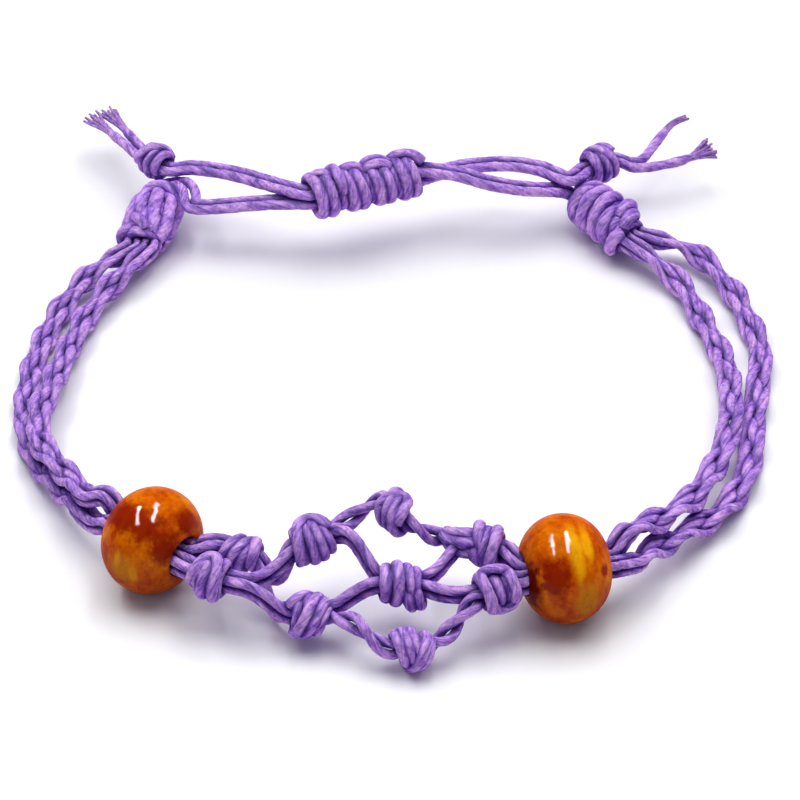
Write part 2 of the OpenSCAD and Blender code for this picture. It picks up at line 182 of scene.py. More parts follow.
def turned(place, angle):
    c, s = math.cos(angle), math.sin(angle)
    return Vector((place[0] * c - place[1] * s, place[0] * s + place[1] * c))


class Route:
    """A smooth curve through given points, measured along its straight legs."""

    def __init__(self, points):
        self.points = [Vector(p) for p in points]
        self.marks = [0.0]
        for a, b in zip(self.points, self.points[1:]):
            self.marks.append(self.marks[-1] + (b - a).length)
        self.length = self.marks[-1]

    def at(self, distance):
        distance = max(0.0, min(self.length, distance))
        last = len(self.points) - 2
        i = min(last, max(0, sum(1 for m in self.marks if m < distance) - 1))
        f = (distance - self.marks[i]) / (self.marks[i + 1] - self.marks[i])
        b, c = self.points[i], self.points[i + 1]
        a = self.points[i - 1] if i > 0 else 2 * b - c
        d = self.points[i + 2] if i < last else 2 * c - b
        return 0.5 * (2 * b + (c - a) * f + (2 * a - 5 * b + 4 * c - d) * f * f
                      + (3 * b - a - 3 * c + d) * f ** 3)

    def way(self, distance):
        reach = 0.3
        ahead = self.at(min(self.length, distance + reach))
        return (ahead - self.at(max(0.0, distance - reach))).normalized()


class Run:
    """One length of cord: its middle points and radii, how it is pressed flat, and its twist."""

    def __init__(self, points, radii, press=None, lay=8.0, start=0.0):
        self.points = points
        self.radii = radii
        self.press = press
        self.lay = lay
        self.start = start


def plait_line(side, lane):
    """The middle line of a plait: through the bead, along its route and into the large knot."""
    sign = 1 if side == "left" else -1
    bead, heading = Vector(BEADS[side][0]), BEADS[side][1]
    knot, knot_heading, half = BIG_KNOTS[side]
    a = -sign * aim(heading)
    b = aim(knot_heading)
    offset = sign * (1 if lane == "outer" else -1) * 2 * NARROW_SLOT
    in_bead = (-BEAD_HALF, BEAD_HALF, BEAD_HALF + MOUTH_RUN)
    in_knot = (-half - MOUTH_RUN, -half, half - PLAIT_STOP)
    points = [bead + a * s + side_of(a) * offset for s in in_bead]
    points += PLAIT_ROUTES[side + "_" + lane]
    points += [Vector(knot) + b * s + side_of(b) * offset for s in in_knot]
    return Route(points)


def uneven(distance, strand, lane, size):
    """A small wandering of a strand across its plait."""
    row = strand * 4.0 + len(lane)
    return Vector((noise.noise(Vector((distance * 0.3, row, 1.0))),
                   noise.noise(Vector((distance * 0.3, row, 9.0))))) * 2 * size


def swing(angle):
    """Where a strand lies across its plait, at an angle of its repeat; small ripples part the strands."""
    reach = PLAIT_REACH * math.sin(angle) - 0.06 * math.sin(5 * angle)
    rise = -PLAIT_RISE * math.cos(3 * angle) + 0.07 * math.cos(5 * angle) + 0.04 * math.cos(angle)
    return Vector((reach, rise))


def slot(angle):
    """Where a strand lies in the square bundle inside a bead or a large knot."""
    return Vector((math.copysign(1, math.sin(angle)), -math.copysign(1, math.cos(3 * angle)))) * NARROW_SLOT


def plait_strand(side, lane, k):
    """One of the four strands of a plait, swinging over and under the others."""
    sign = 1 if side == "left" else -1
    route = plait_line(side, lane)
    turns = PLAIT_TURNS[side + "_" + lane]
    fan = BEAD_FANS[side]
    bead_end = 2 * BEAD_HALF + MOUTH_GAP
    knot_end = route.length - (2 * BIG_KNOTS[side][2] - PLAIT_STOP) - MOUTH_GAP
    twisted = knot_end - bead_end - fan - KNOT_FAN + 2 * TWIST_LEAD
    first = TURN / 8 + TURN * k / 4
    count = int(route.length / RING_STEP)
    points, radii, press = [], [], []
    for i in range(count + 1):
        d = route.length * i / count
        way = route.way(d)
        open_out = min(smooth((d - bead_end) / fan), smooth((knot_end - d) / KNOT_FAN))
        f = max(0.0, min(1.0, (d - bead_end - fan + TWIST_LEAD) / twisted))
        closed = slot(first + (0.0 if f < 0.5 else TURN * turns))
        place = closed.lerp(swing(first + TURN * turns * f), open_out)
        place += uneven(d, k, lane, WANDER * open_out)
        points.append(route.at(d) + across(way, (place[0] * sign, place[1])))
        swell = 1.0 + STRAND_SWELL * noise.noise(Vector((d * 0.25, k * 3.0, turns)))
        radii.append((BEAD_CORD_RADIUS + (PLAIT_RADIUS - BEAD_CORD_RADIUS) * open_out) * swell)
        crossing = 1.0 - min(1.0, abs(place[0]))
        press.append((rise_of(way), 1.0 - STRAND_PRESS * open_out * (0.35 + 0.65 * crossing)))
    return Run(points, radii, press, start=k * 1.3)


def station(number):
    """Middle, heading, pitch and cords of a net knot, or of a bead's mouth at either end."""
    if number == 0:
        middle, heading = BEADS["left"]
        return Vector(middle) + aim(heading) * BEAD_HALF, heading, 0.0, (1, 2, 3, 4, 5, 6, 7, 8)
    if number == LAST_STATION:
        middle, heading = BEADS["right"]
        return Vector(middle) - aim(heading) * BEAD_HALF, heading, 0.0, (1, 2, 5, 6, 3, 4, 7, 8)
    middle, heading, pitch, order = NET_KNOTS[number]
    return Vector(middle), heading, pitch, order


def net_slot(number, cord):
    """Where a cord lies across a station."""
    order = station(number)[3]
    i = order.index(cord)
    row, column = (1 if i % 2 == 0 else -1), i // 2
    if len(order) == 8:
        return Vector((NARROW_SLOT * (3 - 2 * column), NARROW_SLOT * row))
    if len(order) == 4:
        return Vector((FOUR_SLOT * (1 - 2 * column), FOUR_SLOT * row))
    return TWO_SLOT * row


def eased(p, p_way, q, q_way, f):
    """A smooth path from p to q that leaves and arrives along the given ways."""
    return ((2 * f ** 3 - 3 * f * f + 1) * p + (f ** 3 - 2 * f * f + f) * p_way
            + (3 * f * f - 2 * f ** 3) * q + (f ** 3 - f * f) * q_way)


def span_run(cord, start, stop, mates, bow, twist):
    """The points and radii of one cord of the net between two stations."""
    here, heading, pitch, _ = station(start)
    there, far_heading, far_pitch, _ = station(stop)
    a, b = aim(heading, pitch), aim(far_heading, far_pitch)
    mid_a = sum((net_slot(start, m) for m in mates), Vector((0, 0))) / len(mates)
    mid_b = sum((net_slot(stop, m) for m in mates), Vector((0, 0))) / len(mates)
    p = here + a * (-BEAD_REACH if start == 0 else NET_KNOT_HALF) + across(a, mid_a)
    q = there - b * (-BEAD_REACH if stop == LAST_STATION else NET_KNOT_HALF) + across(b, mid_b)
    own_a, own_b = net_slot(start, cord) - mid_a, net_slot(stop, cord) - mid_b
    pull = (q - p).length * SPAN_PULL
    count = int((q - p).length * 1.1 / RING_STEP)
    nudge = 0.01

    def middle(f):
        return eased(p, a * pull, q, b * pull, f) + Vector(bow) * math.sin(math.pi * f) ** 2

    points, radii = [], []
    for i in range(count + 1):
        f = i / count
        way = (middle(min(1, f + nudge)) - middle(max(0, f - nudge))).normalized()
        own = turned(own_a.lerp(own_b, f) * (1 + SPAN_SWELL * math.sin(math.pi * f)), TURN * twist * f)
        points.append(middle(f) + across(way, own))
        thick = smooth(2 * f) if start == 0 else smooth(2 - 2 * f) if stop == LAST_STATION else 1.0
        radii.append(BEAD_CORD_RADIUS + (NET_RADIUS - BEAD_CORD_RADIUS) * thick)
    return points, radii


def net_run(cord):
    """One cord of the net, from the left bead through its knots to the right bead."""
    points, radii = [], []
    for span in NET_SPANS[cord if cord % 2 else cord - 1]:
        more_points, more_radii = span_run(cord, *span)
        points += more_points
        radii += more_radii
    return Run(points, radii, start=cord * 0.7)


# The section of a cord: a few soft plies with shallow grooves between them
SECTION_SIDES = 14
PLIES = 3
PLY_DEPTH = 0.06
LUMP = 0.08
# Where a section is pressed flat, this share of what it loses goes into its width
SPREAD = 0.4
# Cords that start a step apart in their twist lie this far apart in the fibres
FIBRE_SHIFT = 10
# Within this distance another cord darkens the side that faces it, as painted shade
CROWD_REACH = 1.7
CROWD_TOUCH = 0.9
# It doesn't shade itself closer than this along its length
CROWD_SELF = 2.4


def make_section():
    """The cord's outline across: a circle with shallow grooves between its plies."""
    curve = bpy.data.curves.new("cord_section", "CURVE")
    curve.dimensions = "2D"
    spline = curve.splines.new("POLY")
    spline.points.add(SECTION_SIDES - 1)
    for i, point in enumerate(spline.points):
        angle = TURN * i / SECTION_SIDES
        r = 1.0 - PLY_DEPTH * (1.0 - abs(math.cos(PLIES * angle / 2)))
        point.co = (r * math.cos(angle) * MM, r * math.sin(angle) * MM, 0.0, 1.0)
    spline.use_cyclic_u = True
    section = bpy.data.objects.new("cord_section", curve)
    bpy.context.scene.collection.objects.link(section)
    return section


class Crowd:
    """All cord middles, to find how closely each side of a cord faces its neighbours, which sets the shade
    painted into its crevices.
    """

    def __init__(self, runs):
        total = sum(len(run.points) for run in runs)
        self.tree = kdtree.KDTree(total)
        self.owner = []
        for number, run in enumerate(runs):
            run.number = number
            # A loose yarn is too thin to shade a cord
            if max(run.radii) < DRAW_RADIUS / 2:
                continue
            for i, point in enumerate(run.points):
                self.tree.insert(point, len(self.owner))
                self.owner.append((number, i))
        self.tree.balance()

    def around(self, run, outs):
        """How closely each corner of each ring faces another cord, from 0 to 1, which is how much painted
        shade it gets.
        """
        painted_crevice_shade = np.zeros(outs.shape[:2])
        for i, point in enumerate(run.points):
            ways, near = [], []
            for place, index, away in self.tree.find_range(point, CROWD_REACH):
                number, j = self.owner[index]
                if away < 0.1 or (number == run.number and abs(i - j) * RING_STEP < CROWD_SELF):
                    continue
                ways.append((place - point) / away)
                near.append(min(1.0, (CROWD_REACH - away) / (CROWD_REACH - CROWD_TOUCH)))
            if ways:
                facing = np.clip(np.array(ways) @ outs[i].T, 0, 1) ** 2
                painted_crevice_shade[i] = np.max(facing * np.array(near)[:, None], axis=0)
        return painted_crevice_shade


def swept_mesh(name, runs):
    """A mesh of the section swept along each run, with the run's radii and twist."""
    curve = bpy.data.curves.new(name, "CURVE")
    curve.dimensions = "3D"
    curve.twist_mode = "MINIMUM"
    curve.bevel_mode = "OBJECT"
    curve.bevel_object = section
    for run in runs:
        spline = curve.splines.new("POLY")
        spline.points.add(len(run.points) - 1)
        walked = 0.0
        for i, point in enumerate(spline.points):
            if i:
                walked += (run.points[i] - run.points[i - 1]).length
            point.co = (*(run.points[i] + MIDDLE) * MM, 1.0)
            point.radius = run.radii[i]
            point.tilt = TURN * (walked + run.start) / run.lay
    holder = bpy.data.objects.new(name + "_line", curve)
    bpy.context.scene.collection.objects.link(holder)
    graph = bpy.context.evaluated_depsgraph_get()
    mesh = bpy.data.meshes.new_from_object(holder.evaluated_get(graph), depsgraph=graph)
    bpy.data.objects.remove(holder)
    bpy.data.curves.remove(curve)
    mesh.name = name
    return mesh


def add_piece(name, mesh, material, solid):
    """Gives a finished piece its material, links it under the root and hides the solid it takes the place
    of.
    """
    mesh.materials.clear()
    mesh.materials.append(material)
    piece = bpy.data.objects.new(name, mesh)
    bpy.context.scene.collection.objects.link(piece)
    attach(piece, "root")
    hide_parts(solid)


def cord_piece(name, runs, solid):
    """Sweeps the section along each run, presses and roughens it and closes its ends."""
    mesh = swept_mesh(name, runs)
    mark_and_press(mesh, runs)
    close_ends(mesh)
    add_piece(name, mesh, cord_look, solid)


def rim_offsets(run, out, walked, angles):
    """The points of each ring from its middle, pressed flat and roughened."""
    if run.press:
        way = np.array([p[0] for p in run.press])[:, None, :]
        keep = np.array([p[1] for p in run.press])[:, None, None]
        high = np.sum(out * way, axis=2, keepdims=True)
        out = (out - high * way) * (1.0 + SPREAD * (1.0 - keep)) + way * high * keep
    return out * (1.0 + LUMP * lumps(walked, angles)[:, :, None])


def mark_and_press(mesh, runs):
    """Presses each ring, and notes how far along and round the cord and how crowded each point is, the
    crowding for painted shade.
    """
    places = np.empty(len(mesh.vertices) * 3)
    mesh.vertices.foreach_get("co", places)
    places = places.reshape(-1, 3)
    lay = np.zeros((len(places), 3))
    painted_crevice_shade = np.zeros(len(places))
    angles = np.arange(SECTION_SIDES) * TURN / SECTION_SIDES
    offset = 0
    for run in runs:
        rings = len(run.points)
        own = slice(offset, offset + rings * SECTION_SIDES)
        middles = np.array([(p + MIDDLE) * MM for p in run.points])
        steps = np.linalg.norm(np.diff(middles, axis=0), axis=1)
        walked = np.concatenate([[0.0], np.cumsum(steps)]) / MM + run.start * FIBRE_SHIFT
        out = places[own].reshape(rings, SECTION_SIDES, 3) - middles[:, None, :]
        out = rim_offsets(run, out, walked, angles)
        places[own] = (middles[:, None, :] + out).reshape(-1, 3)
        painted_crevice_shade[own] = crowd.around(run, out / np.linalg.norm(out, axis=2, keepdims=True)).ravel()
        lay[own, 0] = np.repeat(walked, SECTION_SIDES)
        lay[own, 1] = np.tile(np.cos(angles), rings)
        lay[own, 2] = np.tile(np.sin(angles), rings)
        offset += rings * SECTION_SIDES
    mesh.vertices.foreach_set("co", places.ravel())
    mesh.attributes.new("lay", "FLOAT_VECTOR", "POINT").data.foreach_set("vector", lay.ravel())
    mesh.attributes.new("painted_crevice_shade", "FLOAT", "POINT").data.foreach_set("value", painted_crevice_shade)


def lumps(walked, angles):
    """Uneven swelling of a cord, for each ring and each corner."""
    rows = []
    for d in walked:
        broad = noise.noise(Vector((d * 0.7, 5.0, 0.0)))
        rows.append([broad + 1.2 * noise.noise(Vector((d * 1.6, 1.3 * math.cos(a), 1.3 * math.sin(a))))
                     for a in angles])
    return np.array(rows)


def close_ends(mesh):
    bm = bmesh.new()
    bm.from_mesh(mesh)
    rims = [e for e in bm.edges if e.is_boundary]
    bmesh.ops.holes_fill(bm, edges=rims, sides=0)
    bmesh.ops.recalc_face_normals(bm, faces=bm.faces)
    for face in bm.faces:
        face.smooth = len(face.verts) == 4
    bm.to_mesh(mesh)
    bm.free()


# Directions round a hub, counted from its far side over the top
# The first two span the face that is seen from the front, the last is where ends are tucked in
FACE_TOP = math.radians(52.0)
FACE_OUT = math.radians(142.0)
HIDDEN = 322.0
# A hoop goes this many degrees round its hub and drifts this far along it
# Over its first and last degrees it tucks in by this depth
HOOP_SWEEP = 395.0
HOOP_DRIFT = 0.3
TUCK_SWEEP = 70.0
TUCK = 0.6
# Share of its thickness that a turn keeps where it is pressed on its hub, and its unevenness
TURN_KEEP = 0.85
TURN_SWELL = 0.05


class Hub:
    """A straight bundle that cords are wound on."""

    def __init__(self, middle, heading, pitch=0.0):
        self.middle = Vector(middle)
        self.axis = aim(heading, pitch)
        self.side = side_of(self.axis)
        self.rise = rise_of(self.axis)

    def point(self, along, radius, angle):
        out = self.side * math.cos(angle) + self.rise * math.sin(angle)
        return self.middle + self.axis * along + out * radius, out


def hoop(hub, row, thick, seed):
    """A cord once round a hub, columns: where its top, seen face and bottom lie along it, radius."""
    top, face, bottom, radius = row
    level, lean = (top + bottom) / 2, (top - bottom) / 2
    bow = (face - level) / 2
    points, radii, press = [], [], []
    count = int(math.radians(HOOP_SWEEP) * radius / RING_STEP)
    for i in range(count + 1):
        f = i / count
        angle = math.radians(HIDDEN + HOOP_SWEEP * f)
        ends = smooth(min(f, 1 - f) * HOOP_SWEEP / TUCK_SWEEP)
        place = level + bow + HOOP_DRIFT * (f - 0.5)
        place += lean * math.cos(angle - FACE_TOP) + bow * math.cos(angle - FACE_OUT)
        point, out = hub.point(place, radius - TUCK * (1 - ends), angle)
        points.append(point)
        radii.append(thick * (1 + TURN_SWELL * math.sin(3 * angle + seed)))
        press.append((out, TURN_KEEP))
    return Run(points, radii, press, start=seed)


def loop(hub, rows, thick, seed):
    """A cord laid over a hub, columns of its rows: degrees round it, along it, radius."""
    route = Route([(math.radians(degrees) * radius, along, radius) for degrees, along, radius in rows])
    count = int(route.length / RING_STEP)
    points, radii, press = [], [], []
    for i in range(count + 1):
        spread, along, radius = route.at(route.length * i / count)
        point, out = hub.point(along, radius, spread / radius)
        points.append(point)
        radii.append(thick * (1 + TURN_SWELL * math.sin(i * 0.4 + seed)))
        press.append((out, TURN_KEEP))
    return Run(points, radii, press, start=seed)


# Hoops of each net knot, columns: place of the top, of the seen face and of the bottom, radius
NET_HOOPS = {
    1: ((-0.45, -0.95, -1.3, 1.3), (0.5, 0, -0.4, 1.45), (1.3, 0.85, 0.45, 1.3)),
    2: ((-0.9, -1, -0.9, 1.4), (0.1, 0, 0, 1.5), (0.9, 0.9, 0.8, 1.45)),
    3: ((-0.9, -1.35, -1.1, 1.45), (-0.1, -0.45, -0.2, 1.75), (0.6, 0.35, 0.7, 1.75), (1.2, 1.15, 1.5, 1.4)),
    4: ((-0.9, -1, -1.1, 1.3), (0, 0, 0, 1.45), (0.9, 0.9, 0.8, 1.3)),
    5: ((-1, -0.3, 0.5, 1.45), (-0.4, 0.4, 1.1, 1.45)),
    6: ((-1.2, -1.2, -1.1, 1.3), (-0.3, -0.3, -0.3, 1.55), (0.6, 0.6, 0.6, 1.45), (1.4, 1.5, 1.5, 1.2)),
    7: ((-1.1, -0.9, -0.4, 1.35), (-0.5, -0.15, 0.3, 1.5), (0.2, 0.5, 0.9, 1.5)),
    8: ((-1, -0.9, -0.8, 1.35), (-0.1, 0, 0.1, 1.5), (0.9, 1, 1.1, 1.4)),
    9: ((-1, -1, -0.9, 1.35), (0, 0, 0, 1.35), (1, 1, 0.9, 1.3)),
}
# Loops laid over them, columns of each row: degrees round the knot, along it, radius
NET_LOOPS = {
    1: (((0, -0.3, 1.3), (40, 0.7, 1.6), (80, 1.3, 1.75), (120, 1.7, 1.6), (160, 1.7, 1.2),
         (190, 1.5, 0.8)),),
    2: (((210, -1.5, 1), (160, -1.5, 1.5), (115, -1.1, 1.85), (85, -0.4, 2.1), (90, 0.3, 2.2),
         (125, 0.75, 2.25), (170, 0.75, 2.1), (220, 0.65, 1.9), (270, 0.5, 1.4)),
        ((200, -1, 1.3), (150, -1, 1.65), (115, -0.6, 1.95), (115, -0.15, 2.05), (150, -0.2, 2.1),
         (200, -0.35, 2), (245, -0.4, 1.7), (290, -0.4, 1.1))),
    3: (((260, -1.3, 1.2), (210, -1.7, 1.5), (155, -1.75, 1.8), (105, -1.35, 2.05), (75, -0.6, 2.2),
         (65, 0.3, 2.2), (80, 1.1, 1.9), (110, 1.7, 1.4)),),
    4: (((255, -1.3, 1.2), (225, -1.3, 1.8), (185, -0.9, 2), (150, -0.3, 2.05), (115, 0.3, 1.9),
         (80, 0.7, 1.7), (50, 0.9, 1.2)),
        ((265, -0.6, 1.2), (225, -0.4, 1.9), (190, 0, 2), (155, 0.6, 1.9), (120, 1.1, 1.7),
         (85, 1.4, 1.3)),
        ((250, 0.4, 1.2), (215, 0.6, 1.75), (180, 0.9, 1.75), (150, 1.3, 1.5), (120, 1.6, 1.1)),
        ((110, -1.8, 1.1), (85, -1.1, 1.6), (62, -0.3, 1.7), (40, 0.5, 1.3))),
    5: (((190, -1.4, 0.8), (135, -1.2, 1.25), (90, -0.8, 1.5), (60, -0.1, 1.65), (75, 0.6, 1.65),
         (115, 1, 1.5), (160, 1.1, 1.2)),
        ((130, -1.1, 1), (180, -0.9, 1.35), (225, -0.3, 1.5), (265, 0.2, 1.4), (300, 0.5, 1))),
    6: (((30, -0.4, 1.2), (75, -0.3, 1.8), (115, 0, 2.05), (155, 0.1, 2.1), (195, -0.1, 2),
         (235, -0.4, 1.7), (265, -0.6, 1.2)),
        ((50, -1.3, 1.1), (95, -1.3, 1.6), (135, -1.1, 1.85), (175, -1, 1.85), (215, -1.2, 1.6),
         (250, -1.4, 1.1)),
        ((55, 0.6, 1.1), (95, 0.8, 1.55), (135, 0.9, 1.7), (165, 1.1, 1.5), (190, 1.6, 1)),
        ((160, 0.5, 1.4), (190, 0.9, 2), (220, 1.2, 2.2), (250, 1.2, 2), (280, 1, 1.4)),
        ((165, 1.5, 1.1), (195, 1.8, 1.8), (225, 2, 2), (255, 1.9, 1.6), (280, 1.7, 1.1))),
    7: (((80, 1.2, 1.1), (120, 1.3, 1.5), (160, 0.9, 1.85), (200, 0.3, 1.9), (240, -0.2, 1.75),
         (280, -0.5, 1.3)),
        ((100, 1.6, 1), (140, 1.6, 1.4), (180, 1.2, 1.7), (220, 0.7, 1.8), (265, 0.2, 1.5))),
    8: (((10, 0.4, 1.2), (50, 0.6, 1.75), (95, 0.9, 2), (140, 1.1, 2.05), (180, 1, 1.9),
         (220, 0.8, 1.4)),
        ((20, -1.2, 1.1), (55, -1.1, 1.7), (95, -0.8, 1.9), (130, -0.5, 1.7), (155, -0.1, 1.3)),
        ((150, -0.9, 1.3), (180, -0.5, 1.75), (210, 0, 1.7), (240, 0.3, 1.2)),
        ((105, -0.9, 1.4), (118, -1.9, 1.6), (124, -2.9, 1.4), (126, -3.8, 0.8)),
        ((140, -0.9, 1.5), (150, -2, 1.8), (155, -3.1, 1.5), (155, -4, 0.9)),
        ((175, -0.8, 1.5), (185, -1.9, 1.7), (190, -2.9, 1.3), (190, -3.7, 0.8))),
    9: (((35, -1.1, 1.2), (75, -1.2, 1.8), (115, -1.3, 2.05), (155, -1.2, 2.05), (195, -1, 1.9),
         (235, -0.7, 1.3)),
        ((60, -1.4, 1.3), (72, -0.7, 2), (80, 0.2, 2.15), (86, 1, 1.9), (96, 1.6, 1.2)),
        ((65, 1.1, 1.1), (105, 1.3, 1.7), (145, 1.4, 1.85), (185, 1.3, 1.8), (225, 1.1, 1.3)),
        ((185, -1, 1.5), (212, -0.4, 1.9), (216, 0.4, 1.95), (205, 1.1, 1.8), (190, 1.6, 1.2))),
}


# Straight hoops of the large knots, which lie under their loops, columns: place, radius
BIG_HOOPS = ((-3.2, 1.4), (-2.2, 1.65), (-1.1, 1.75), (0, 1.75), (1.1, 1.75), (2.2, 1.65), (3.2, 1.4))
BIG_LOOPS = {
    "left": (((-50, 3, 1.5), (-38, 2, 2.1), (-32, 0.4, 2.25), (-38, -1.2, 2.2), (-44, -2.6, 1.7)),
             ((-16, 3.2, 1.5), (-4, 2.2, 2.1), (4, 0.6, 2.25), (4, -1, 2.2), (-6, -2.3, 1.7)),
             ((16, 3.5, 1.5), (28, 2.6, 2.15), (35, 1.2, 2.3), (38, -0.6, 2.3), (32, -2, 2.1),
              (22, -2.9, 1.6)),
             ((58, 3.5, 1.5), (64, 2.6, 2.2), (66, 1.2, 2.4), (70, -0.2, 2.35), (78, -1.4, 2.15),
              (88, -2.7, 1.6)),
             ((92, 3.3, 1.5), (100, 2.4, 2.25), (101, 1, 2.4), (104, -0.6, 2.2), (116, -2.2, 2),
              (126, -3.2, 1.5)),
             ((124, 3.2, 1.6), (136, 2.2, 2.3), (142, 0.8, 2.45), (148, -0.8, 2.4), (156, -2.2, 2.2),
              (160, -3.3, 1.6)),
             ((164, 3, 1.6), (176, 1.8, 2.2), (184, 0.4, 2.3), (190, -1, 2.2), (194, -2.4, 1.7)),
             ((205, 2.8, 1.5), (215, 1.4, 2.1), (222, -0.2, 2.2), (226, -1.8, 2), (228, -2.8, 1.6)),
             ((50, -1, 1.8), (66, -1.9, 2.1), (84, -2.6, 2), (104, -3.2, 1.6)),
             ((20, 3.4, 1.5), (60, 3.9, 1.9), (100, 4.1, 2.1), (135, 3.7, 2.3), (160, 2.9, 2.45),
              (178, 1.9, 2.5), (192, 0.8, 2.2)),
             ((-48, -2.2, 1.6), (-22, -2.7, 2.2), (2, -3.1, 2.35), (24, -3.1, 2.2), (40, -2.7, 1.7))),
    "right": (((55, 3.8, 1.4), (80, 4.1, 1.9), (105, 4.1, 2), (130, 3.8, 1.6)),
              ((165, 3.2, 1.6), (130, 3.1, 2.2), (95, 3.1, 2.35), (60, 3.2, 2.3), (25, 3.2, 2.25),
               (-10, 3, 2.1), (-45, 2.7, 1.7), (-80, 2.5, 1.4)),
              ((165, 2, 1.7), (130, 1.9, 2.35), (95, 1.8, 2.5), (60, 1.7, 2.5), (25, 1.5, 2.45),
               (-10, 1.4, 2.3), (-45, 1.2, 1.9), (-80, 1, 1.5)),
              ((160, 0.6, 1.8), (130, 0.5, 2.45), (100, 0.3, 2.6), (65, -0.1, 2.65), (30, -0.4, 2.55),
               (-5, -0.7, 2.4), (-40, -0.8, 1.9), (-70, -0.8, 1.5)),
              ((180, -0.6, 1.6), (155, -1.1, 2.4), (130, -1.5, 2.7), (105, -1.9, 2.5), (80, -2.2, 1.8)),
              ((90, -1.1, 1.8), (60, -1.4, 2.3), (30, -1.7, 2.4), (0, -2, 2.3), (-35, -2.1, 1.7)),
              ((-75, -1.8, 1.5), (-45, -2.6, 2.2), (-15, -3.3, 2.45), (15, -3.7, 2.3), (35, -3.8, 1.6)),
              ((140, -2.4, 1.7), (115, -2.9, 2.2), (88, -3.3, 2.1), (60, -3.5, 1.5)),
              ((215, 2.5, 1.6), (210, 1.2, 2.1), (205, -0.4, 2.2), (200, -2, 2), (195, -3, 1.5)),
              ((250, 2.5, 1.6), (248, 1, 2.1), (246, -0.5, 2.1), (244, -2.2, 1.8))),
}
# Sliding bar: hoops of its four lobes, thin hoops between them, and cords laid along its top
BAR_HOOPS = ((-5.5, -5.2, -5, 2), (-4.4, -4.1, -3.9, 2.05), (-2.5, -1.9, -1.7, 1.95),
             (-1.4, -0.8, -0.6, 1.95), (0.5, 1, 1.3, 1.95), (1.6, 2.1, 2.3, 1.9), (3.4, 3.9, 4.1, 1.9),
             (4.5, 4.9, 5.1, 1.8), (-3.4, -3, -2.8, 1.5), (-0.4, 0.1, 0.3, 1.5), (2.5, 3, 3.2, 1.5))
BAR_LOOPS = (((70, -5.6, 1.5), (80, -5, 2.3), (84, -4.2, 2.3), (90, -3.6, 1.8)),
             ((30, -3.3, 1.5), (60, -3.2, 2.3), (90, -3.1, 2.5), (120, -2.9, 2.3), (150, -2.6, 1.7)),
             ((72, -2.6, 1.6), (76, -1.9, 2.25), (78, -0.9, 2.3), (84, -0.2, 1.8)),
             ((62, 0, 1.7), (66, 0.7, 2.4), (70, 1.8, 2.5), (74, 2.7, 1.9)),
             ((88, 0.1, 1.7), (92, 0.8, 2.3), (92, 1.8, 2.35), (96, 2.6, 1.8)),
             ((60, 3, 1.7), (66, 3.6, 2.4), (70, 4.6, 2.5), (78, 5.6, 2.2), (84, 6.4, 1.5)))
END_HOOPS = {
    "left": ((-1.1, -0.9, -0.7, 1.35), (-0.2, 0, 0.2, 1.55), (0.9, 1, 1.1, 1.35)),
    "right": ((-1, -1, -0.9, 1.4), (-0.1, 0, 0.1, 1.55), (0.9, 0.9, 1, 1.4)),
}
END_LOOPS = {
    "left": (((10, 1.3, 1.2), (40, 0.9, 1.7), (80, 0.2, 1.85), (120, -0.6, 1.75), (160, -1.2, 1.3)),),
    "right": (((20, -1.3, 1.2), (50, -0.7, 1.7), (90, 0, 1.85), (130, 0.6, 1.7), (170, 1.1, 1.3)),
              ((-10, -0.6, 1.3), (20, 0.1, 1.75), (60, 0.8, 1.75), (100, 1.3, 1.4))),
}


# Radius of the turns of each kind of knot
NET_TURN = 0.52
BIG_TURN = 0.68
BAR_TURN = 0.62
END_TURN = 0.52


def knot_runs(hub, hoops, loops, thick, seed):
    """All turns of a knot: hoops round its hub and loops laid over them."""
    runs = [hoop(hub, row, thick, seed + 0.9 * i) for i, row in enumerate(hoops)]
    return runs + [loop(hub, rows, thick, seed + 0.3 + i) for i, rows in enumerate(loops)]


def net_knot_runs(number):
    middle, heading, pitch, _ = NET_KNOTS[number]
    hub = Hub(middle, heading, pitch)
    return knot_runs(hub, NET_HOOPS[number], NET_LOOPS[number], NET_TURN, number)


def big_knot_runs(side):
    middle, heading, _ = BIG_KNOTS[side]
    hoops = [(place, place, place, radius) for place, radius in BIG_HOOPS]
    return knot_runs(Hub(middle, heading), hoops, BIG_LOOPS[side], BIG_TURN, len(side))


def bar_runs():
    hub = Hub((BAR_FROM + BAR_TO) / 2, math.degrees(math.atan2(BAR_AXIS.y, BAR_AXIS.x)))
    return knot_runs(hub, BAR_HOOPS, BAR_LOOPS, BAR_TURN, 2.0)


def end_knot_runs(side):
    middle, heading = END_KNOTS[side]
    return knot_runs(Hub(middle, heading), END_HOOPS[side], END_LOOPS[side], END_TURN, len(side) + 3)


